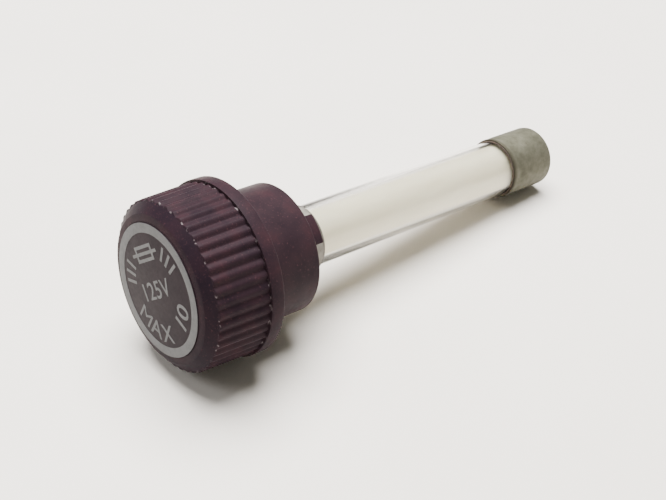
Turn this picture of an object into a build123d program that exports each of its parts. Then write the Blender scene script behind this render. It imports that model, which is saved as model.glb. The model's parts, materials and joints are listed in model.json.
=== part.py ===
from build123d import *
import os

# A fuse carrier: a fluted moulded knob whose socket grips one end of a glass cartridge fuse.
# Millimetres. The fuse axis is the Y axis, +Y pointing from the knob towards the cartridge's far
# end, and +Z is up. The origin is the centre of the seat, the rear face of the knob's flange.

# Knob, outside
face_y = -7.6
ridge_front_r = 7.94
ridge_rear_r = 8.1
flange_r = 8.3
flange_front_y = -1.37
flange_rounding = 0.2
neck_r = 6.2
neck_end_y = 5.7
neck_rounding = 0.3
lip_r = 6.85
lip_fall = 0.07
lip_rounding = 0.3
shoulder_length = 0.75
flute_count = 48
flute_depth = 0.25
flute_cutter_r = 0.31
flute_overrun = 0.3
lug_count = 2
lug_width_deg = 35
lug_centre_deg = 45
lug_end_y = 7.5
lug_inner_r = 3.4
lug_outer_r = 4.8

# Knob, inside
disc_r = 6.15
disc_thickness = 0.4
disc_clearance = 0.05
disc_stands_proud = 0.18
disc_edge_rounding = 0.08
rivet_pocket_r = 2.35
rivet_pocket_floor_y = -6.1
rivet_hole_r = 1.05
socket_r = 3.95
socket_floor_y = -3.5

# Pieces held in the knob
washer_r = 2.2
washer_thickness = 0.3
rivet_shank_r = 1.0
rivet_head_r = 1.9
rivet_head_thickness = 0.6
rivet_head_rounding = 0.35
rivet_flare_r = 1.45
rivet_flare_thickness = 0.4
rivet_bore_r = 0.55
rivet_bore_depth = 1.8
clip_outer_r = 3.75
clip_wall = 0.3
clip_hole_r = 1.02
clip_end_y = 5.2
clip_grip_r = 3.22
clip_grip_y = 4.3
clip_bend_y = 3.6
clip_slot_width = 1.1
clip_slot_start_y = -0.6
spring_wire_r = 0.2
spring_mean_r = 2.15
spring_turns = 5
cap_r = 2.75
cap_skirt_inner_r = 2.45
cap_hole_r = 1.5
cap_floor = 0.4
cap_depth = 1.5
cap_gap = 0.05

# Cartridge
ferrule_r = 3.175
ferrule_length = 6.0
ferrule_wall = 0.18
ferrule_floor = 0.25
ferrule_rounding = 0.45
ferrule_hole_r = 0.7
cartridge_length = 38.1
cartridge_rear_y = 40.85
glass_r = 2.945
glass_wall = 0.42
glass_end_gap = 0.45
glass_end_rounding = 0.12
liner_r = 2.28
liner_wall = 0.5
end_disc_thickness = 0.5
end_disc_clearance = 0.03
end_disc_hole_r = 0.3
cement_inner_r = 1.6
cement_stands_out = 0.1
solder_crown = 0.12
solder_crown_r = 1.1
solder_blob_r = 1.25
solder_blob_length = 0.4
link_r = 0.16
bead_r = 0.42
bead_length = 1.8
bead_rounding = 0.2

# Worked out from the sizes above
cartridge_front_y = cartridge_rear_y - cartridge_length
cartridge_middle_y = (cartridge_front_y + cartridge_rear_y) / 2
disc_back_y = face_y + disc_thickness
rim_y = face_y + disc_stands_proud
ridge_front_y = rim_y + lip_fall + shoulder_length
shoulder_r = ridge_front_r - flute_depth
flute_front = Vector(shoulder_r + flute_cutter_r, ridge_front_y, 0)
flute_rear = Vector(ridge_rear_r - flute_depth + flute_cutter_r, flange_front_y, 0)
flute_line = flute_rear - flute_front
flute_pitch_deg = 360 / flute_count
washer_front_y = rivet_pocket_floor_y - washer_thickness
rivet_front_y = washer_front_y - rivet_head_thickness
clip_floor_y = socket_floor_y + clip_wall
rivet_rear_y = clip_floor_y + rivet_flare_thickness
clip_inner_r = clip_outer_r - clip_wall
cap_rear_y = cartridge_front_y - cap_gap
cap_floor_y = cap_rear_y - cap_floor
ferrule_inner_r = ferrule_r - ferrule_wall
glass_end_depth = ferrule_floor + glass_end_gap
glass_bore_r = glass_r - glass_wall
liner_end_depth = glass_end_depth + end_disc_thickness
liner_length = cartridge_length - 2 * liner_end_depth
glass_length = cartridge_length - 2 * glass_end_depth

os.makedirs("parts", exist_ok=True)


def across(y):
    """The plane square to the fuse axis at y: x to the right, z up, facing the knob's face."""
    return Plane.XZ.offset(-y)


def corner(sketch, radius, y):
    """The vertex of a half section nearest to a point, for a fillet."""
    return sketch.vertices().sort_by_distance((radius, y, 0))[0]


def write(part, name):
    part.label = name
    export_step(part, f"parts/{name}.step")


# Cutter for one flute: a round rod, tilted a little because the grip tapers towards the face
with BuildPart() as flute_cutter:
    with BuildSketch(Plane(origin=flute_front, z_dir=flute_line).offset(-flute_overrun)):
        Circle(flute_cutter_r)
    extrude(amount=flute_line.length + flute_overrun)
flute_cutters = [flute_cutter.part.rotate(Axis.Y, k * flute_pitch_deg) for k in range(flute_count)]

# Knob: one moulding with the fluted grip, the flange, the stepped neck and its two lugs
with BuildPart() as knob:
    with BuildSketch(Plane.XY) as knob_section:
        Polygon(
            (rivet_hole_r, rivet_pocket_floor_y),
            (rivet_pocket_r, rivet_pocket_floor_y),
            (rivet_pocket_r, disc_back_y),
            (disc_r + disc_clearance, disc_back_y),
            (disc_r + disc_clearance, rim_y),
            (lip_r, rim_y + lip_fall),
            (shoulder_r, ridge_front_y),
            (ridge_front_r, ridge_front_y),
            (ridge_rear_r, flange_front_y),
            (flange_r, flange_front_y),
            (flange_r, 0),
            (neck_r, 0),
            (neck_r, neck_end_y),
            (socket_r, neck_end_y),
            (socket_r, socket_floor_y),
            (rivet_hole_r, socket_floor_y),
            align=None,
        )
        fillet(corner(knob_section, lip_r, rim_y + lip_fall), radius=lip_rounding)
        fillet(corner(knob_section, neck_r, neck_end_y), radius=neck_rounding)
        fillet(corner(knob_section, flange_r, 0), radius=flange_rounding)
    revolve(axis=Axis.Y)
    add(flute_cutters, mode=Mode.SUBTRACT)
    for turn in range(lug_count):
        lug_start_deg = lug_centre_deg - lug_width_deg / 2 + turn * 360 / lug_count
        with BuildSketch(across(neck_end_y)):
            with BuildLine():
                inner_arc = CenterArc((0, 0), lug_inner_r, lug_start_deg, lug_width_deg)
                outer_arc = CenterArc((0, 0), lug_outer_r, lug_start_deg, lug_width_deg)
                Line(inner_arc @ 0, outer_arc @ 0)
                Line(inner_arc @ 1, outer_arc @ 1)
            make_face()
        extrude(amount=neck_end_y - lug_end_y)
write(knob.part, "knob")

# Rating disc, set in the shallow seat of the knob's face
with BuildPart() as rating_disc:
    with BuildSketch(across(face_y)):
        Circle(disc_r)
    extrude(amount=-disc_thickness)
    fillet(rating_disc.edges().group_by(Axis.Y)[0], radius=disc_edge_rounding)
write(rating_disc.part, "rating_disc")

# Washer that spreads the rivet's load on the brittle moulding
with BuildPart() as rivet_washer:
    with BuildSketch(across(washer_front_y)):
        Circle(washer_r)
        Circle(rivet_hole_r, mode=Mode.SUBTRACT)
    extrude(amount=-washer_thickness)
write(rivet_washer.part, "rivet_washer")

# Semi-tubular rivet: head under the disc, shank through the knob, flare inside the clip
with BuildPart() as clip_rivet:
    with BuildSketch(Plane.XY) as rivet_section:
        Polygon(
            (0, rivet_front_y),
            (rivet_head_r, rivet_front_y),
            (rivet_head_r, washer_front_y),
            (rivet_shank_r, washer_front_y),
            (rivet_shank_r, clip_floor_y),
            (rivet_flare_r, clip_floor_y),
            (rivet_flare_r, rivet_rear_y),
            (rivet_bore_r, rivet_rear_y),
            (rivet_bore_r, rivet_rear_y - rivet_bore_depth),
            (0, rivet_rear_y - rivet_bore_depth),
            align=None,
        )
        fillet(corner(rivet_section, rivet_head_r, rivet_front_y), radius=rivet_head_rounding)
    revolve(axis=Axis.Y)
write(clip_rivet.part, "clip_rivet")

# Contact clip: a cup with four sprung fingers, pinched in near their tips to grip the ferrule
with BuildPart() as contact_clip:
    with BuildSketch(Plane.XY):
        Polygon(
            (clip_hole_r, socket_floor_y),
            (clip_outer_r, socket_floor_y),
            (clip_outer_r, clip_bend_y),
            (clip_grip_r + clip_wall, clip_grip_y),
            (clip_outer_r, clip_end_y),
            (clip_inner_r, clip_end_y),
            (clip_grip_r, clip_grip_y),
            (clip_inner_r, clip_bend_y),
            (clip_inner_r, clip_floor_y),
            (clip_hole_r, clip_floor_y),
            align=None,
        )
    revolve(axis=Axis.Y)
    with BuildSketch(across(clip_slot_start_y)):
        Rectangle(2 * socket_r, clip_slot_width)
        Rectangle(clip_slot_width, 2 * socket_r)
    extrude(amount=clip_slot_start_y - clip_end_y, mode=Mode.SUBTRACT)
write(contact_clip.part, "contact_clip")

# Pressure spring between the clip's floor and the spring cap
spring_start_y = clip_floor_y + spring_wire_r
spring_end_y = cap_floor_y - spring_wire_r
spring_height = spring_end_y - spring_start_y
with BuildPart() as pressure_spring:
    with BuildLine():
        coil = Helix(
            pitch=spring_height / spring_turns,
            height=spring_height,
            radius=spring_mean_r,
            center=(0, spring_start_y, 0),
            direction=(0, 1, 0),
        )
    with BuildSketch(Plane(origin=coil @ 0, z_dir=coil % 0)):
        Circle(spring_wire_r)
    sweep(path=coil, is_frenet=True)
write(pressure_spring.part, "pressure_spring")

# Spring cap: a shallow cup with a hole, which presses on the cartridge's front end
with BuildPart() as spring_cap:
    with BuildSketch(Plane.XY):
        Polygon(
            (cap_hole_r, cap_rear_y),
            (cap_r, cap_rear_y),
            (cap_r, cap_rear_y - cap_depth),
            (cap_skirt_inner_r, cap_rear_y - cap_depth),
            (cap_skirt_inner_r, cap_floor_y),
            (cap_hole_r, cap_floor_y),
            align=None,
        )
    revolve(axis=Axis.Y)
write(spring_cap.part, "spring_cap")

# The cartridge's two ends are alike: depths are measured inwards from each end face
for end, end_y, inwards in (("front", cartridge_front_y, 1), ("rear", cartridge_rear_y, -1)):
    # Ferrule: a drawn cup with a hole for the solder
    with BuildPart() as ferrule:
        with BuildSketch(Plane.XY) as ferrule_section:
            Polygon(
                (ferrule_hole_r, end_y),
                (ferrule_r, end_y),
                (ferrule_r, end_y + inwards * ferrule_length),
                (ferrule_inner_r, end_y + inwards * ferrule_length),
                (ferrule_inner_r, end_y + inwards * ferrule_floor),
                (ferrule_hole_r, end_y + inwards * ferrule_floor),
                align=None,
            )
            fillet(corner(ferrule_section, ferrule_r, end_y), radius=ferrule_rounding)
        revolve(axis=Axis.Y)
    write(ferrule.part, f"{end}_ferrule")

    # Cement: a thin sleeve between ferrule and glass, and a collar behind the glass's end
    with BuildPart() as cement:
        with BuildSketch(Plane.XY):
            Polygon(
                (cement_inner_r, end_y + inwards * ferrule_floor),
                (ferrule_inner_r, end_y + inwards * ferrule_floor),
                (ferrule_inner_r, end_y + inwards * (ferrule_length + cement_stands_out)),
                (glass_r, end_y + inwards * (ferrule_length + cement_stands_out)),
                (glass_r, end_y + inwards * glass_end_depth),
                (cement_inner_r, end_y + inwards * glass_end_depth),
                align=None,
            )
        revolve(axis=Axis.Y)
    write(cement.part, f"{end}_cement")

    # End disc: a fibre disc in the mouth of the glass, which centres the liner and the link
    with BuildPart() as end_disc:
        with BuildSketch(Plane.XY):
            Polygon(
                (end_disc_hole_r, end_y + inwards * glass_end_depth),
                (glass_bore_r - end_disc_clearance, end_y + inwards * glass_end_depth),
                (glass_bore_r - end_disc_clearance, end_y + inwards * liner_end_depth),
                (end_disc_hole_r, end_y + inwards * liner_end_depth),
                align=None,
            )
        revolve(axis=Axis.Y)
    write(end_disc.part, f"{end}_end_disc")

    # Solder: a low crown outside, a plug in the ferrule's hole and a blob round the link's end
    with BuildPart() as solder:
        with BuildSketch(Plane.XY):
            with BuildLine():
                crown = ThreePointArc(
                    (0, end_y - inwards * solder_crown),
                    (solder_crown_r / 2, end_y - inwards * solder_crown * 3 / 4),
                    (solder_crown_r, end_y),
                )
                Polyline(
                    crown @ 1,
                    (ferrule_hole_r, end_y),
                    (ferrule_hole_r, end_y + inwards * ferrule_floor),
                    (solder_blob_r, end_y + inwards * ferrule_floor),
                    (link_r, end_y + inwards * (ferrule_floor + solder_blob_length)),
                    (link_r, end_y + inwards * ferrule_floor),
                    (0, end_y + inwards * ferrule_floor),
                    crown @ 0,
                )
            make_face()
        revolve(axis=Axis.Y)
    write(solder.part, f"{end}_solder")

# Glass tube
with BuildPart() as glass_tube:
    with BuildSketch(across(cartridge_front_y + glass_end_depth)):
        Circle(glass_r)
        Circle(glass_bore_r, mode=Mode.SUBTRACT)
    extrude(amount=-glass_length)
    fillet(glass_tube.edges().filter_by(GeomType.CIRCLE), radius=glass_end_rounding)
write(glass_tube.part, "glass_tube")

# White liner tube, an air gap inside the glass
with BuildPart() as liner_tube:
    with BuildSketch(across(cartridge_front_y + liner_end_depth)):
        Circle(liner_r)
        Circle(liner_r - liner_wall, mode=Mode.SUBTRACT)
    extrude(amount=-liner_length)
write(liner_tube.part, "liner_tube")

# Fuse link: one wire from solder to solder
with BuildPart() as fuse_link:
    with BuildSketch(across(cartridge_front_y + ferrule_floor)):
        Circle(link_r)
    extrude(amount=2 * ferrule_floor - cartridge_length)
write(fuse_link.part, "fuse_link")

# Tin bead at the link's middle, which lowers the temperature at which it opens
with BuildPart() as link_bead:
    with BuildSketch(across(cartridge_middle_y - bead_length / 2)):
        Circle(bead_r)
    extrude(amount=-bead_length)
    fillet(link_bead.edges().filter_by(GeomType.CIRCLE), radius=bead_rounding)
    with BuildSketch(across(cartridge_middle_y - bead_length / 2)):
        Circle(link_r)
    extrude(amount=-bead_length, mode=Mode.SUBTRACT)
write(link_bead.part, "link_bead")

# Arc filler: packed powder that fills the liner round the link and its bead
with BuildPart() as arc_filler:
    with BuildSketch(across(cartridge_front_y + liner_end_depth)):
        Circle(liner_r - liner_wall)
    extrude(amount=-liner_length)
    add(link_bead.part, mode=Mode.SUBTRACT)
    add(fuse_link.part, mode=Mode.SUBTRACT)
write(arc_filler.part, "arc_filler")
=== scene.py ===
"""The looks of a fuse carrier and its cartridge: meshes, procedural materials, floor, light and camera."""

import json
import math

import bmesh
import bpy
from mathutils import Matrix, Vector

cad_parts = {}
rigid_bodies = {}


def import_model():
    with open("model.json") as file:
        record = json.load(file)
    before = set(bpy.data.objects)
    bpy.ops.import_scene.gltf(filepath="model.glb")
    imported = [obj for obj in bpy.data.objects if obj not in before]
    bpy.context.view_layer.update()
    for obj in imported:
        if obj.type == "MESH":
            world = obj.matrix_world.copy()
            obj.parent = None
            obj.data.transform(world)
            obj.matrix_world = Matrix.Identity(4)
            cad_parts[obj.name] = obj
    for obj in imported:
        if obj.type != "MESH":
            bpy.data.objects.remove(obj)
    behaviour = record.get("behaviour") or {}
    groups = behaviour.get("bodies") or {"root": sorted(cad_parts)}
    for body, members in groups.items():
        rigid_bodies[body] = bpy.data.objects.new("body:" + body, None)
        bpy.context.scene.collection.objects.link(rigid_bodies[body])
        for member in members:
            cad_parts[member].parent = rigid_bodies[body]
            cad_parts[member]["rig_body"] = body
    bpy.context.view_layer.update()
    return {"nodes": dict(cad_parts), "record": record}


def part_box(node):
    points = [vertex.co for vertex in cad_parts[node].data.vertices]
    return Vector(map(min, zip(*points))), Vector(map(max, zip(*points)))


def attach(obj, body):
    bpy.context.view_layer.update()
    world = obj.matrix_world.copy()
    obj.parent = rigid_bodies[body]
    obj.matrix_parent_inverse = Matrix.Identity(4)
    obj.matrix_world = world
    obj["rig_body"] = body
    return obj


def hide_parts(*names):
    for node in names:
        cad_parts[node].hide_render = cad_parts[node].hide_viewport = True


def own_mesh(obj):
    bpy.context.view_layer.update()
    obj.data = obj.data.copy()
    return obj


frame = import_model()

MM = 0.001
nodes = frame["nodes"]
slot_of = {part["node"]: part["material_slot"] for part in frame["record"]["subparts"]}
base_colour = {m["slot"]: m["base_color"] for m in frame["record"]["materials"]}


# ---------------------------------------------------------------- sizes, in mm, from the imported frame


def low(node, axis):
    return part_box(node)[0][axis] / MM


def high(node, axis):
    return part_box(node)[1][axis] / MM


X, Y = 0, 1
face_y = low("rating_disc", Y)
disc_back_y = high("rating_disc", Y)
disc_r = high("rating_disc", X)
flange_r = high("knob", X)
lug_end_y = high("knob", Y)
ferrule_r = high("rear_ferrule", X)
ferrule_length = high("rear_ferrule", Y) - low("rear_ferrule", Y)
front_end_y = low("front_ferrule", Y)
rear_end_y = high("rear_ferrule", Y)
glass_r = high("glass_tube", X)
liner_r = high("liner_tube", X)

# Sizes that the frame's boxes don't hold
ridge_front_r = 7.94
ridge_rear_r = 8.1
ridge_front_y = -6.6
flute_count = 48
flute_depth = 0.19
flange_front_y = -1.37
lip_r = 6.85
lip_y = -7.35
neck_r = 6.2
neck_end_y = 5.7
neck_rounding = 0.3
socket_r = 3.95
socket_floor_y = -3.5
rivet_hole_r = 1.0
rivet_recess_r = 2.3
rivet_recess_y = -6.2
lug_count = 2
lug_width_deg = 35
lug_centre_deg = 45
lug_inner_r = 3.4
lug_outer_r = 4.8
ring_inner_r = 5.24
ring_outer_r = 6.12
print_turn_deg = 38
ferrule_wall = 0.18
ferrule_hole_r = 0.7
glass_wall = 0.42
liner_wall = 0.5


# ---------------------------------------------------------------- materials


class Paint:
    """A principled material with short ways to add the noise, ramps and bump that a finish needs."""

    def __init__(self, name, colour, roughness=0.5, metallic=0.0):
        self.mat = bpy.data.materials.new(name)
        self.mat.use_nodes = True
        self.tree = self.mat.node_tree
        self.shader = self.tree.nodes["Principled BSDF"]
        self.shader.inputs["Base Color"].default_value = (*colour[:3], 1)
        self.shader.inputs["Roughness"].default_value = roughness
        self.shader.inputs["Metallic"].default_value = metallic
        self.place = self.tree.nodes.new("ShaderNodeTexCoord").outputs["Object"]

    def node(self, kind, **values):
        made = self.tree.nodes.new(kind)
        for name, value in values.items():
            setattr(made, name, value)
        return made

    def link(self, a, b):
        self.tree.links.new(a, b)

    def stretched(self, x, y, z):
        """The object's coordinates, with a factor along each axis."""
        scale = self.node("ShaderNodeMapping")
        scale.inputs["Scale"].default_value = (x, y, z)
        self.link(self.place, scale.inputs["Vector"])
        return scale.outputs["Vector"]

    def noise(self, size_mm, detail=3.0, roughness=0.55, stretch=(1, 1, 1)):
        """Noise whose features are about size_mm across."""
        made = self.node("ShaderNodeTexNoise")
        made.inputs["Scale"].default_value = 1 / (size_mm * MM)
        made.inputs["Detail"].default_value = detail
        made.inputs["Roughness"].default_value = roughness
        self.link(self.stretched(*stretch), made.inputs["Vector"])
        return made.outputs["Fac"]

    def ramp(self, source, stops):
        """Colours or greys along a 0 to 1 source: stops are (position, colour or grey)."""
        made = self.node("ShaderNodeValToRGB")
        while len(made.color_ramp.elements) < len(stops):
            made.color_ramp.elements.new(0.5)
        for element, (position, colour) in zip(made.color_ramp.elements, stops):
            element.position = position
            grey = (colour,) * 3 if isinstance(colour, (int, float)) else colour
            element.color = (*grey, 1)
        self.link(source, made.inputs["Fac"])
        return made.outputs["Color"]

    def mix(self, factor, a, b):
        """Colour a, going over to colour b as the factor rises from 0 to 1."""
        made = self.node("ShaderNodeMix", data_type="RGBA", blend_type="MIX")
        for socket, value in ((made.inputs[0], factor), (made.inputs[6], a), (made.inputs[7], b)):
            if isinstance(value, bpy.types.NodeSocket):
                self.link(value, socket)
            elif isinstance(value, (int, float)):
                socket.default_value = value
            else:
                socket.default_value = (*value, 1)
        return made.outputs[2]

    def maths(self, operation, a, b=0.0, clamp=False):
        made = self.node("ShaderNodeMath", operation=operation, use_clamp=clamp)
        for socket, value in ((made.inputs[0], a), (made.inputs[1], b)):
            if isinstance(value, bpy.types.NodeSocket):
                self.link(value, socket)
            else:
                socket.default_value = value
        return made.outputs[0]

    def band(self, y, half_width, steep=2.0):
        """1 near a place y mm along the fuse axis, falling to 0 at half_width mm from it."""
        parts = self.node("ShaderNodeSeparateXYZ")
        self.link(self.place, parts.inputs[0])
        away = self.maths("ABSOLUTE", self.maths("SUBTRACT", parts.outputs[Y], y * MM))
        nearness = self.maths("SUBTRACT", 1.0, self.maths("DIVIDE", away, half_width * MM))
        return self.maths("MULTIPLY", nearness, steep, clamp=True)

    def span(self, source, lowest, highest):
        """A 0 to 1 source stretched to run from lowest to highest."""
        made = self.node("ShaderNodeMapRange")
        made.inputs["To Min"].default_value = lowest
        made.inputs["To Max"].default_value = highest
        self.link(source, made.inputs["Value"])
        return made.outputs["Result"]

    def bump(self, height, strength, distance_mm):
        made = self.node("ShaderNodeBump")
        made.inputs["Strength"].default_value = strength
        made.inputs["Distance"].default_value = distance_mm * MM
        self.link(height, made.inputs["Height"])
        self.link(made.outputs["Normal"], self.shader.inputs["Normal"])

    def colour(self, source):
        self.link(source, self.shader.inputs["Base Color"])

    def roughness(self, source, lowest, highest):
        self.link(self.span(source, lowest, highest), self.shader.inputs["Roughness"])


def phenolic():
    """Dark maroon moulding compound, cloudy and finely specked.

    The shoulder is painted a little darker as painted shade, the neck a little lighter as painted fill
    light, and the ends of some ridges carry pale painted glints.
    """
    paint = Paint("phenolic", base_colour["phenolic"], 0.35)
    paint.shader.inputs["Specular IOR Level"].default_value = 0.03
    cloud = paint.noise(2.2, detail=5)
    speck = paint.noise(0.16, detail=2)
    ground = paint.ramp(
        cloud,
        [
            (0.3, (0.0145, 0.009, 0.013)),
            (0.5, (0.0205, 0.0118, 0.016)),
            (0.72, (0.0298, 0.0138, 0.018)),
        ],
    )
    # Painted shade: the ground colour is darkened on the shoulder, where little light falls.
    shoulder = paint.band((lip_y + ridge_front_y) / 2, half_width=0.5, steep=3)
    ground = paint.mix(paint.maths("MULTIPLY", shoulder, 0.5), ground, (0.0085, 0.006, 0.0105))
    # Painted fill light: the neck's ground colour is made a little lighter all round.
    neck_fill_light = paint.maths("MULTIPLY", paint.band(neck_end_y / 2, half_width=4.5), 0.12)
    ground = paint.mix(neck_fill_light, ground, (0.044, 0.029, 0.031))
    fleck = paint.ramp(speck, [(0.62, 0.0), (0.8, 1.0)])
    flecked = paint.mix(fleck, ground, (0.06, 0.028, 0.033))
    # Painted glints: pale spots at the front and rear ends of some ridges stand in for specular
    # highlights.
    front_ends = paint.band(ridge_front_y + 0.04, half_width=0.08)
    rear_ends = paint.band(flange_front_y - 0.07, half_width=0.08)
    patchy = paint.ramp(paint.noise(0.6, detail=2), [(0.58, 0.0), (0.68, 0.7)])
    wear_and_glints = paint.maths("MULTIPLY", paint.maths("ADD", front_ends, rear_ends, clamp=True), patchy)
    paint.colour(paint.mix(wear_and_glints, flecked, (0.2, 0.17, 0.18)))
    paint.roughness(paint.noise(0.5, detail=6), 0.36, 0.58)
    paint.bump(paint.noise(0.22, detail=4), 0.25, 0.03)
    return paint.mat


def printed_face():
    """Dark print on metal: a near-black maroon ground, cloudy and a little worn through."""
    paint = Paint("printed_face", base_colour["printed_metal"], 0.45, 0.1)
    paint.shader.inputs["Specular IOR Level"].default_value = 0.04
    cloud = paint.noise(1.6, detail=5)
    ground = paint.ramp(cloud, [(0.3, (0.0132, 0.0084, 0.0118)), (0.7, (0.02, 0.0132, 0.0168))])
    grain = paint.noise(0.12, detail=2, stretch=(1, 1, 0.2))
    # Only wear here: pale metal where the print has rubbed through.
    wear_and_glints = paint.ramp(grain, [(0.68, 0.0), (0.85, 1.0)])
    paint.colour(paint.mix(wear_and_glints, ground, (0.04, 0.033, 0.034)))
    paint.roughness(paint.noise(0.3, detail=4), 0.35, 0.6)
    paint.bump(grain, 0.15, 0.01)
    return paint.mat


def bare_print():
    """The bare silver of the ring and the lettering, dulled by handling."""
    paint = Paint("bare_print", (0.17, 0.17, 0.168), 0.5, 0.35)
    paint.shader.inputs["Specular IOR Level"].default_value = 0.3
    cloud = paint.noise(0.9, detail=5)
    paint.colour(paint.ramp(cloud, [(0.3, (0.06, 0.0612, 0.065)), (0.7, (0.082, 0.0835, 0.0885))]))
    paint.roughness(paint.noise(0.25, detail=4), 0.4, 0.65)
    paint.bump(paint.noise(0.12, detail=2), 0.1, 0.008)
    return paint.mat


def nickel():
    """Dull nickel plate: cloudy grey tarnish, olive at the rear end, painted shade at both mouths and a
    few smudges.
    """
    paint = Paint("nickel", base_colour["nickel"], 0.42, 0.9)
    cloud = paint.noise(1.3, detail=8, roughness=0.72)
    clean = paint.ramp(
        cloud,
        [(0.32, (0.14, 0.132, 0.116)), (0.5, (0.225, 0.213, 0.192)), (0.68, (0.3, 0.286, 0.262))],
    )
    olive = paint.ramp(
        cloud,
        [(0.32, (0.085, 0.083, 0.06)), (0.5, (0.126, 0.123, 0.092)), (0.68, (0.164, 0.16, 0.124))],
    )
    rear_end = paint.band(rear_end_y, half_width=ferrule_length + 2, steep=4)
    tarnish_and_shade = paint.mix(rear_end, clean, olive)
    # Painted shade: dark bands at both ferrule mouths, where the rolled edge meets the glass, stand in for
    # shadow.
    front_rim = paint.band(front_end_y + ferrule_length, half_width=0.3)
    front_mouth_shade = paint.maths("MULTIPLY", front_rim, 0.3)
    rear_rim = paint.band(rear_end_y - ferrule_length, half_width=0.5, steep=1.3)
    rear_mouth_shade = paint.maths("MULTIPLY", rear_rim, 0.75)
    mouth_shade = paint.maths("ADD", front_mouth_shade, rear_mouth_shade)
    tarnish_and_shade = paint.mix(mouth_shade, tarnish_and_shade, (0.05, 0.043, 0.03))
    smudge = paint.ramp(paint.noise(0.75, detail=3), [(0.66, 0.0), (0.78, 0.75)])
    paint.colour(paint.mix(smudge, tarnish_and_shade, (0.08, 0.073, 0.05)))
    paint.roughness(paint.noise(0.6, detail=5), 0.58, 0.85)
    paint.bump(paint.noise(0.3, detail=4, stretch=(1, 0.3, 1)), 0.2, 0.02)
    return paint.mat


def clear_glass():
    """Clear tube glass with a soft surface reflection, faint draw lines and smears."""
    paint = Paint("clear_glass", (1.0, 0.995, 0.975), 0.1)
    paint.shader.inputs["Transmission Weight"].default_value = 1.0
    paint.shader.inputs["IOR"].default_value = 1.17
    paint.shader.inputs["Coat Weight"].default_value = 0.7
    paint.shader.inputs["Coat Roughness"].default_value = 0.15
    paint.roughness(paint.noise(1.5, detail=4), 0.08, 0.18)
    paint.bump(paint.noise(0.6, detail=2, stretch=(1, 0.05, 1)), 0.04, 0.01)
    return paint.mat


def white_liner():
    """Matt white tube, slightly warm, with faint streaks along it."""
    paint = Paint("white_liner", base_colour["white_ceramic"], 0.7)
    streaks = paint.noise(1.6, detail=5, stretch=(1, 0.2, 1))
    paint.colour(paint.ramp(streaks, [(0.32, (0.91, 0.845, 0.63)), (0.68, (1.0, 0.95, 0.75))]))
    paint.roughness(paint.noise(0.4, detail=3), 0.6, 0.85)
    paint.bump(paint.noise(0.2, detail=4), 0.2, 0.02)
    return paint.mat


def toned(slot, darkest, lightest):
    """Ramp stops from a slot's own colour times one factor to the same colour times another."""
    colour = base_colour[slot][:3]
    return [(0.3, [c * darkest for c in colour]), (0.7, [min(c * lightest, 1) for c in colour])]


def metal(name, slot, darkest, lightest, grain_mm, roughness, stretch=(1, 1, 1)):
    """A metal for the inner pieces: its slot's colour varied between two factors, with a grain."""
    paint = Paint(name, base_colour[slot], roughness, 1.0)
    stops = toned(slot, darkest, lightest)
    paint.colour(paint.ramp(paint.noise(grain_mm * 4, detail=5), stops))
    paint.roughness(paint.noise(grain_mm, detail=4), roughness * 0.75, min(roughness * 1.3, 1))
    paint.bump(paint.noise(grain_mm, detail=3, stretch=stretch), 0.15, 0.02)
    return paint.mat


def dull(name, slot, darkest, lightest, grain_mm, depth_mm):
    """A matt, grainy finish for cement, fibre and powder."""
    paint = Paint(name, base_colour[slot], 0.9)
    stops = toned(slot, darkest, lightest)
    grain = paint.noise(grain_mm, detail=5)
    paint.colour(paint.ramp(grain, stops))
    paint.roughness(grain, 0.75, 1.0)
    paint.bump(grain, 0.5, depth_mm)
    return paint.mat


finish = {
    "phenolic": phenolic(),
    "printed_metal": printed_face(),
    "nickel": nickel(),
    "glass": clear_glass(),
    "white_ceramic": white_liner(),
    "steel": metal("zinc_steel", "steel", 0.4, 0.65, 0.2, 0.35, (1, 0.2, 1)),
    "brass": metal("satin_brass", "brass", 0.45, 0.7, 0.25, 0.35, (1, 0.2, 1)),
    "spring_bronze": metal("spring_bronze", "spring_bronze", 0.35, 0.6, 0.3, 0.38, (1, 0.2, 1)),
    "copper": metal("tinned_copper", "copper", 0.85, 1.1, 0.1, 0.4, (1, 0.1, 1)),
    "solder": metal("soft_solder", "solder", 0.25, 0.45, 0.35, 0.5),
    "cement": dull("brown_cement", "cement", 0.2, 0.6, 0.12, 0.03),
    "fibre": dull("vulcanised_fibre", "fibre", 0.75, 1.2, 0.2, 0.02),
    "powder": dull("packed_powder", "powder", 0.85, 1.1, 0.15, 0.04),
}
bare = bare_print()

for name, node in nodes.items():
    node.data.materials.clear()
    node.data.materials.append(finish[slot_of[name]])


# ---------------------------------------------------------------- mesh tools


def add_piece(name, vertices, faces, material, body, crease_deg=35):
    """A mesh piece from vertices in mm, smooth except at edges sharper than crease_deg."""
    mesh = bpy.data.meshes.new(name)
    mesh.from_pydata([Vector(v) * MM for v in vertices], [], faces)
    mesh.validate()
    shell = bmesh.new()
    shell.from_mesh(mesh)
    bmesh.ops.recalc_face_normals(shell, faces=shell.faces)
    shell.to_mesh(mesh)
    shell.free()
    mesh.materials.append(material)
    mesh.shade_smooth()
    mesh.set_sharp_from_angle(angle=math.radians(crease_deg))
    piece = bpy.data.objects.new(name, mesh)
    bpy.context.scene.collection.objects.link(piece)
    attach(piece, body)
    return piece


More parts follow.
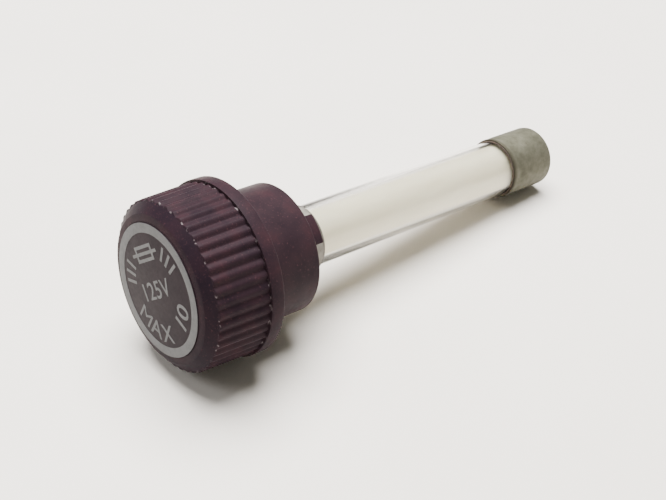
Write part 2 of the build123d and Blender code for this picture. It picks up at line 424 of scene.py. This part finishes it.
def rounded(points, steps=4):
    """(r, y) points for (r, y, radius) corners, with an arc at each corner that has a radius."""
    outline = []
    count = len(points)
    for i, (r, y, radius) in enumerate(points):
        here = Vector((r, y))
        if radius == 0:
            outline.append((r, y))
            continue
        before = Vector(points[i - 1][:2]) - here
        after = Vector(points[(i + 1) % count][:2]) - here
        half = before.angle(after) / 2
        reach = radius / math.tan(half)
        start = here + before.normalized() * reach
        end = here + after.normalized() * reach
        towards_centre = (before.normalized() + after.normalized()).normalized()
        centre = here + towards_centre * radius / math.sin(half)
        first = math.atan2(start.y - centre.y, start.x - centre.x)
        swing = math.atan2(end.y - centre.y, end.x - centre.x) - first
        swing = (swing + math.pi) % (2 * math.pi) - math.pi
        for k in range(steps + 1):
            angle = first + swing * k / steps
            arc_r = centre.x + radius * math.cos(angle)
            arc_y = centre.y + radius * math.sin(angle)
            outline.append((arc_r, arc_y))
    return outline


def lathe(outline, segments, shape=None):
    """Vertices and faces of a closed outline of (r, y) points turned about the fuse axis.

    Points at r = 0 are poles. shape(r, y, turn) may give another radius at each angle, turn in degrees.
    """
    vertices, rings = [], []
    for r, y in outline:
        if r == 0:
            rings.append([len(vertices)] * segments)
            vertices.append((0, y, 0))
            continue
        rings.append(list(range(len(vertices), len(vertices) + segments)))
        for k in range(segments):
            turn = 360 * k / segments
            radius = shape(r, y, turn) if shape else r
            angle = math.radians(turn)
            vertices.append((radius * math.cos(angle), y, radius * math.sin(angle)))
    faces = []
    for i, ring in enumerate(rings):
        following = rings[(i + 1) % len(rings)]
        for k in range(segments):
            n = (k + 1) % segments
            corners = [ring[k], ring[n], following[n], following[k]]
            distinct = list(dict.fromkeys(corners))
            if len(distinct) > 2:
                faces.append(distinct)
    return vertices, faces


def turned(name, corners, node, segments=128, shape=None, crease_deg=35):
    """A round piece that stands for one CAD node, in that node's finish and on its body."""
    vertices, faces = lathe(rounded(corners), segments, shape)
    body = nodes[node]["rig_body"]
    piece = add_piece(name, vertices, faces, finish[slot_of[node]], body, crease_deg)
    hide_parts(node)
    return piece


# ---------------------------------------------------------------- knob

flute_pitch_deg = 360 / flute_count
shoulder_r = ridge_front_r - flute_depth
draft = (ridge_rear_r - ridge_front_r) / (flange_front_y - ridge_front_y)


def ridge_top(y):
    """The radius of the ridges, which grows a little from the face to the flange."""
    return ridge_front_r + draft * (y - ridge_front_y)


def fluted(r, y, turn):
    """The radius at one angle: rounded ridges between narrower valleys on the grip, r itself elsewhere."""
    valley_floor = ridge_top(y) - flute_depth
    on_grip = ridge_front_y < y < flange_front_y and r > valley_floor
    if not on_grip:
        return r
    across = (turn / flute_pitch_deg) % 1 - 0.5
    ridge = (0.5 + 0.5 * math.cos(2 * math.pi * across)) ** 0.75
    return valley_floor + (r - valley_floor) * ridge


def knob_outline():
    """(r, y, rounding) corners, from the rivet hole round the outside and back in to the socket."""
    rim_y = face_y + 0.09
    seat_r = disc_r + 0.015
    front = [
        (rivet_hole_r, rivet_recess_y, 0),
        (rivet_recess_r, rivet_recess_y, 0),
        (rivet_recess_r, disc_back_y, 0),
        (seat_r, disc_back_y, 0),
        (seat_r, rim_y, 0.04),
        (lip_r, lip_y, 0.12),
        (shoulder_r - 0.04, ridge_front_y - 0.04, 0),
        (shoulder_r, ridge_front_y, 0),
    ]
    grip = [
        (ridge_top(ridge_front_y) - depth, ridge_front_y + back, 0)
        for depth, back in ((0.13, 0.004), (0.06, 0.03), (0.02, 0.07))
    ]
    run = flange_front_y - ridge_front_y
    for share in (0.03, 0.1, 0.25, 0.45, 0.65, 0.85, 0.95, 0.998):
        grip.append((ridge_top(ridge_front_y + run * share), ridge_front_y + run * share, 0))
    rear = [
        (flange_r - 0.02, flange_front_y, 0),
        (flange_r, flange_front_y + 0.12, 0),
        (flange_r, 0, 0.2),
        (neck_r, 0, 0.15),
        (neck_r, neck_end_y, neck_rounding),
        (socket_r, neck_end_y, 0.15),
        (socket_r, socket_floor_y, 0),
        (rivet_hole_r, socket_floor_y, 0),
    ]
    return front + grip + rear


def lug_mesh(first_vertex, centre_deg):
    """One lug: a sector of a ring with rounded edges, its foot inside the neck's end."""
    steps, edge = 14, 0.22
    foot_y = neck_end_y - 0.01
    section = rounded(
        [
            (lug_inner_r, foot_y, 0),
            (lug_outer_r, foot_y, 0),
            (lug_outer_r, lug_end_y, edge),
            (lug_inner_r, lug_end_y, edge),
        ]
    )
    middle = Vector(((lug_inner_r + lug_outer_r) / 2, (neck_end_y + lug_end_y) / 2))
    vertices, faces = [], []
    stations = [(0, 0.86), (0.012, 0.96), (0.035, 1)] + [(k / steps, 1) for k in range(1, steps)]
    stations += [(0.965, 1), (0.988, 0.96), (1, 0.86)]
    for share, fullness in stations:
        angle = math.radians(centre_deg + (share - 0.5) * lug_width_deg)
        for r, y in section:
            here = middle + (Vector((r, y)) - middle) * fullness
            if y < neck_end_y:
                here.y = y
            vertices.append((here.x * math.cos(angle), here.y, here.x * math.sin(angle)))
    size = len(section)
    for i in range(len(stations) - 1):
        for k in range(size):
            n = (k + 1) % size
            a, b = first_vertex + i * size, first_vertex + (i + 1) * size
            faces.append([a + k, a + n, b + n, b + k])
    faces.append([first_vertex + k for k in reversed(range(size))])
    faces.append([first_vertex + (len(stations) - 1) * size + k for k in range(size)])
    return vertices, faces


def make_knob():
    vertices, faces = lathe(rounded(knob_outline()), flute_count * 16, fluted)
    for lug in range(lug_count):
        more_vertices, more_faces = lug_mesh(len(vertices), lug_centre_deg + lug * 360 / lug_count)
        vertices += more_vertices
        faces += more_faces
    piece = add_piece("knob_moulding", vertices, faces, finish["phenolic"], "carrier", 40)
    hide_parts("knob")


make_knob()


# ---------------------------------------------------------------- rating disc and its print

CAPITAL_HEIGHT = 0.73  # of the built-in font, at size 1
SQUARE = ((-1, -1), (1, -1), (1, 1), (-1, 1))
print_height = 0.015
ground_y = face_y + print_height


def face_point(across, up, depth=0.0):
    """A point on the disc's face: across and up as the print reads, depth towards the viewer."""
    turn = math.radians(print_turn_deg)
    x = across * math.cos(turn) - up * math.sin(turn)
    z = across * math.sin(turn) + up * math.cos(turn)
    return (x, ground_y - depth, z)


def turned_by(turn, a, b, across, up):
    """The point (a, b) turned about the origin, in radians, and then moved by (across, up)."""
    return across + a * math.cos(turn) - b * math.sin(turn), up + a * math.sin(turn) + b * math.cos(turn)


def glyph(text, height, widen=1.0):
    """(across, up, depth) vertices, faces and width of a text with capitals of this height.

    It is centred across and stands on its baseline.
    """
    curve = bpy.data.curves.new("glyph", "FONT")
    curve.body = text
    curve.size = 1.0
    curve.extrude = 0.5
    # Strokes are thickened a little, except in an M, whose inner corner would fold
    curve.offset = 0.0 if text == "M" else 0.01
    curve.resolution_u = 4
    holder = bpy.data.objects.new("glyph", curve)
    bpy.context.scene.collection.objects.link(holder)
    bpy.context.view_layer.update()
    solid_text = holder.evaluated_get(bpy.context.evaluated_depsgraph_get())
    mesh = bpy.data.meshes.new_from_object(solid_text)
    shell = bmesh.new()
    shell.from_mesh(mesh)
    # The front, sides and back come apart, and are joined into one closed shell
    bmesh.ops.remove_doubles(shell, verts=shell.verts, dist=1e-4)
    shell.verts.index_update()
    points = [v.co.copy() for v in shell.verts]
    faces = [[v.index for v in face.verts] for face in shell.faces]
    shell.free()
    bpy.data.objects.remove(holder)
    bpy.data.curves.remove(curve)
    bpy.data.meshes.remove(mesh)
    scale = height / CAPITAL_HEIGHT
    left, right = min(p.x for p in points), max(p.x for p in points)
    middle = (left + right) / 2
    flat = []
    for p in points:
        flat.append(((p.x - middle) * scale * widen, p.y * scale, (p.z + 0.5) * print_height))
    return flat, faces, (right - left) * scale * widen


def disc_print():
    """The fuse symbol, the ticks and the generic ratings, as one thin raised mesh."""
    vertices, faces = [], []

    def take(points, new_faces):
        """Adds (across, up, depth) points and their faces to the print."""
        start = len(vertices)
        vertices.extend(face_point(*p) for p in points)
        faces.extend([start + k for k in face] for face in new_faces)

    def block(across, up, width, height, turn_deg=0.0):
        """A flat bar centred at a point, turned with the arc that it stands on."""
        turn = math.radians(turn_deg)
        points = []
        for depth in (-print_height, print_height):
            for sx, sy in SQUARE:
                points.append((*turned_by(turn, sx * width / 2, sy * height / 2, across, up), depth))
        sides = [[k, (k + 1) % 4, 4 + (k + 1) % 4, 4 + k] for k in range(4)]
        take(points, [[3, 2, 1, 0], [4, 5, 6, 7]] + sides)

    def hollow_case(up, width, height, stroke):
        """A rectangular outline, closed into one frame."""
        points = []
        for depth in (-print_height, print_height):
            for inset in (0, stroke):
                for sx, sy in SQUARE:
                    points.append((sx * (width / 2 - inset), up + sy * (height / 2 - inset), depth))
        new_faces = []
        for k in range(4):
            n = (k + 1) % 4
            new_faces += [[k, 4 + k, 4 + n, n], [8 + k, 8 + n, 12 + n, 12 + k]]
            new_faces += [[k, n, 8 + n, 8 + k], [4 + n, 4 + k, 12 + k, 12 + n]]
        take(points, new_faces)

    def arc_text(text, start_deg, radius, height, spacing, widen):
        """Letters or digits along the lower arc, tops towards the centre, read left to right."""
        angle = start_deg
        for letter in text:
            points, new_faces, width = glyph(letter, height, widen)
            half = math.degrees((width / 2) / radius)
            angle += half
            turn = math.radians(angle + 90)
            foot = Vector((math.cos(math.radians(angle)), math.sin(math.radians(angle)))) * radius
            placed = [(*turned_by(turn, a, b, foot.x, foot.y), depth) for a, b, depth in points]
            take(placed, new_faces)
            angle += half + math.degrees(spacing / radius)

    arc_text("MAX", start_deg=199, radius=4.75, height=1.7, spacing=0.3, widen=1.1)
    arc_text("10", start_deg=302, radius=4.75, height=1.75, spacing=0.8, widen=1.2)
    rating_height = 1.65
    rating_drop = 0.42 * rating_height
    points, new_faces, _ = glyph("125V", rating_height, widen=1.08)
    take([(a, b - rating_drop, depth) for a, b, depth in points], new_faces)

    symbol_up, stroke = 3.4, 0.3
    case_width, case_height, lead = 3.0, 1.5, 0.7
    hollow_case(symbol_up, case_width, case_height, stroke)
    block(0, symbol_up, case_width - 2 * stroke, stroke)
    for sign in (1, -1):
        block(sign * (case_width + lead) / 2, symbol_up, lead, stroke)
    tick_r, tick_length, first_tick_deg, tick_step_deg = 4.1, 1.5, 46, 12
    for tick in range(3):
        for sign in (1, -1):
            lean_deg = sign * (first_tick_deg + tick_step_deg * tick)
            angle = math.radians(90 + lean_deg)
            block(tick_r * math.cos(angle), tick_r * math.sin(angle), stroke, tick_length, lean_deg)
    return vertices, faces


def make_disc():
    turned(
        "rating_disc_ground",
        [(0, ground_y, 0), (disc_r, ground_y, 0.05), (disc_r, disc_back_y, 0), (0, disc_back_y, 0)],
        "rating_disc",
    )
    ring_corners = [
        (ring_inner_r, face_y, 0),
        (ring_outer_r, face_y, 0.008),
        (ring_outer_r, ground_y + print_height, 0),
        (ring_inner_r, ground_y + print_height, 0),
    ]
    vertices, faces = lathe(rounded(ring_corners), 160)
    add_piece("rating_disc_ring", vertices, faces, bare, "carrier")
    vertices, faces = disc_print()
    add_piece("rating_disc_print", vertices, faces, bare, "carrier", 1)


make_disc()


# ---------------------------------------------------------------- cartridge


def make_ferrule(end, end_y, inwards):
    """A drawn cup: rounded end, a soft step where it was pressed on, and a rolled mouth."""
    mouth_y = end_y + inwards * ferrule_length
    inner_r = ferrule_r - ferrule_wall
    waist_r = ferrule_r - 0.025
    floor_y = end_y + inwards * 0.25
    turned(
        f"{end}_ferrule_cup",
        [
            (ferrule_hole_r, end_y, 0.05),
            (ferrule_r, end_y, 0.5),
            (ferrule_r, mouth_y - inwards * 1.15, 0),
            (waist_r, mouth_y - inwards * 0.95, 0),
            (waist_r, mouth_y - inwards * 0.45, 0),
            (ferrule_r, mouth_y - inwards * 0.25, 0),
            (ferrule_r, mouth_y, 0.07),
            (inner_r, mouth_y, 0.05),
            (inner_r, floor_y, 0),
            (ferrule_hole_r, floor_y, 0),
        ],
        f"{end}_ferrule",
        segments=144,
    )


def uneven(r, y, turn):
    """The cement's outer radius at one angle, which wanders a little round the tube."""
    if r < glass_r + 0.01:
        return r
    wander = math.sin(math.radians(turn * 3 + 40)) + math.sin(math.radians(turn * 7)) * 0.6
    return r + 0.006 * wander


def make_cement(end, end_y, inwards):
    """The bond between a ferrule and the glass, with a low bead outside the mouth."""
    mouth_y = end_y + inwards * ferrule_length
    inner_r = ferrule_r - ferrule_wall
    bond_r = inner_r - 0.005
    bond_start_y = end_y + inwards * 0.75
    bead_end_y = mouth_y + inwards * 0.1
    turned(
        f"{end}_cement_bead",
        [
            (glass_r, bond_start_y, 0),
            (bond_r, bond_start_y, 0),
            (bond_r, mouth_y, 0),
            (inner_r + 0.03, mouth_y + inwards * 0.03, 0),
            (glass_r + 0.02, bead_end_y, 0),
            (glass_r, bead_end_y, 0),
        ],
        f"{end}_cement",
        shape=uneven,
    )


def slightly_oval(r, y, turn):
    """The solder's radius at one angle: its outer edge is a little out of round."""
    return r * (1 + 0.035 * math.sin(math.radians(turn * 2 + 30)) * (r > 0.9))


def make_solder(end, end_y, inwards):
    """A low crown with a dimple, as solder sets in a hole."""
    stem_r = 0.68
    stem_end_y = end_y + inwards * 0.5
    turned(
        f"{end}_solder_drop",
        [
            (0, end_y - inwards * 0.09, 0),
            (0.35, end_y - inwards * 0.11, 0.3),
            (0.95, end_y - inwards * 0.07, 0.15),
            (1.1, end_y + inwards * 0.01, 0),
            (stem_r, end_y + inwards * 0.02, 0),
            (stem_r, stem_end_y, 0),
            (0, stem_end_y, 0),
        ],
        f"{end}_solder",
        segments=72,
        shape=slightly_oval,
    )


for end, end_y, inwards in (("front", front_end_y, 1), ("rear", rear_end_y, -1)):
    make_ferrule(end, end_y, inwards)
    make_cement(end, end_y, inwards)
    make_solder(end, end_y, inwards)


def tube(name, node, outer_r, wall, rounding, segments=144):
    """A plain tube with rounded rims, as long as its CAD node."""
    start, end = low(node, Y), high(node, Y)
    inner_r = outer_r - wall
    corners = [(inner_r, start, rounding), (outer_r, start, rounding)]
    corners += [(outer_r, end, rounding), (inner_r, end, rounding)]
    turned(name, corners, node, segments)


tube("glass_body", "glass_tube", glass_r, glass_wall, 0.12)
tube("liner_sleeve", "liner_tube", liner_r, liner_wall, 0.05)


# ---------------------------------------------------------------- pressure spring, which the cap squashes


def make_spring():
    """A coil of round wire, its turns a little closer together at both ends and in the middle."""
    wire_r, coil_r, turns, round_steps, wire_steps = 0.2, 2.15, 5, 40, 10
    gap = 0.17
    start = low("pressure_spring", Y) + gap + wire_r
    end = high("pressure_spring", Y) - gap - wire_r
    total = turns * round_steps
    vertices, faces = [], []
    for k in range(total + 1):
        share = k / total
        eased = share - math.sin(4 * math.pi * share) / (4 * math.pi) * 0.35
        angle = 2 * math.pi * turns * share
        out = Vector((math.cos(angle), 0, math.sin(angle)))
        centre = out * coil_r + Vector((0, start + (end - start) * eased, 0))
        for j in range(wire_steps):
            around = 2 * math.pi * j / wire_steps
            side = out * math.cos(around) + Vector((0, 1, 0)) * math.sin(around)
            vertices.append(centre + side * wire_r)
    for k in range(total):
        for j in range(wire_steps):
            n = (j + 1) % wire_steps
            a, b = k * wire_steps, (k + 1) * wire_steps
            faces.append([a + j, a + n, b + n, b + j])
    faces.append(list(reversed(range(wire_steps))))
    faces.append([total * wire_steps + j for j in range(wire_steps)])
    piece = add_piece("pressure_coil", vertices, faces, finish["steel"], "carrier")
    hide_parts("pressure_spring")
    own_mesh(piece)


make_spring()


# ---------------------------------------------------------------- floor, light and camera

# The part lies on its flange and on the rear ferrule's far end, so the floor slopes in the part's frame
floor_slope = math.asin((flange_r - ferrule_r) / math.hypot(rear_end_y, flange_r - ferrule_r))
to_floor = Matrix.Rotation(floor_slope, 4, "X")
floor_up = to_floor.to_3x3() @ Vector((0, 0, 1))
floor_foot = Vector((0, -0.1, -flange_r)) * MM
floor_radius_m = 0.42


def make_floor():
    """A pale sheet, softly uneven, with its rim rolled down out of sight."""
    rings, segments = 40, 96
    rim_share = 0.9
    vertices, faces = [(0.0, 0.0, 0.0)], []
    for ring in range(1, rings + 1):
        share = ring / rings
        radius = floor_radius_m * share**1.3
        drop = 0.0 if share < rim_share else (share - rim_share) ** 2 * 0.5
        for k in range(segments):
            angle = 2 * math.pi * k / segments
            vertices.append((radius * math.cos(angle), radius * math.sin(angle), -drop))
    for k in range(segments):
        n = (k + 1) % segments
        faces.append([0, 1 + k, 1 + n])
        for ring in range(rings - 1):
            a, b = 1 + ring * segments, 1 + (ring + 1) * segments
            faces.append([a + k, b + k, b + n, a + n])
    mesh = bpy.data.meshes.new("floor")
    mesh.from_pydata(vertices, [], faces)
    mesh.shade_smooth()
    paint = Paint("floor_paper", (0.8, 0.79, 0.77), 0.85)
    shades = [(0.3, (0.785, 0.75, 0.705)), (0.7, (0.845, 0.81, 0.765))]
    paint.colour(paint.ramp(paint.noise(45, detail=4), shades))
    paint.roughness(paint.noise(3, detail=4), 0.75, 0.95)
    paint.bump(paint.noise(7, detail=5), 0.12, 0.25)
    mesh.materials.append(paint.mat)
    floor = bpy.data.objects.new("floor", mesh)
    floor.matrix_world = Matrix.Translation(floor_foot) @ to_floor
    bpy.context.scene.collection.objects.link(floor)


make_floor()


def from_floor(azimuth_deg, elevation_deg):
    """The direction from the object, by azimuth and elevation over the floor: 0 faces the knob's face."""
    a, e = math.radians(azimuth_deg), math.radians(elevation_deg)
    back = Vector((math.sin(a) * math.cos(e), -math.cos(a) * math.cos(e), math.sin(e)))
    return to_floor.to_3x3() @ back


def aim(thing, eye, target, up):
    """Puts a camera or a lamp at eye, looking at target, its top towards up."""
    forward = (target - eye).normalized()
    right = forward.cross(up).normalized()
    top = right.cross(forward)
    thing.matrix_world = Matrix.Translation(eye) @ Matrix((right, top, -forward)).transposed().to_4x4()


def lamp(name, azimuth, elevation, distance, size, power, colour):
    """A soft round lamp, aimed at the middle of the part."""
    data = bpy.data.lights.new(name, "AREA")
    data.shape = "DISK"
    data.size = size
    data.energy = power
    data.color = colour
    thing = bpy.data.objects.new(name, data)
    bpy.context.scene.collection.objects.link(thing)
    target = Vector((0, 12, 0)) * MM
    aim(thing, target + from_floor(azimuth, elevation) * distance, target, Vector((0.3, 0.2, 1)))


lamp("overhead", 238, 76, distance=0.45, size=0.42, power=11.3, colour=(1.0, 0.98, 0.95))
lamp("window", 330, 40, distance=0.6, size=0.25, power=0.9, colour=(0.98, 0.98, 1.0))

world = bpy.data.worlds.new("soft_room")
world.use_nodes = True
background = world.node_tree.nodes["Background"]
background.inputs["Color"].default_value = (1.0, 0.975, 0.85, 1)
background.inputs["Strength"].default_value = 0.23
bpy.context.scene.world = world

camera_data = bpy.data.cameras.new("camera")
camera_data.lens = 64.3
camera_data.sensor_width = 36
camera_data.clip_start = 0.005
camera_data.clip_end = 10
camera = bpy.data.objects.new("camera", camera_data)
bpy.context.scene.collection.objects.link(camera)
look_at = Vector((1.39, 11.4, -1.57)) * MM
camera_azimuth, camera_elevation, camera_distance = 50.1, 37.5, 113.75
eye = look_at + from_floor(camera_azimuth, camera_elevation) * camera_distance * MM
aim(camera, eye, look_at, floor_up)
bpy.context.scene.camera = camera
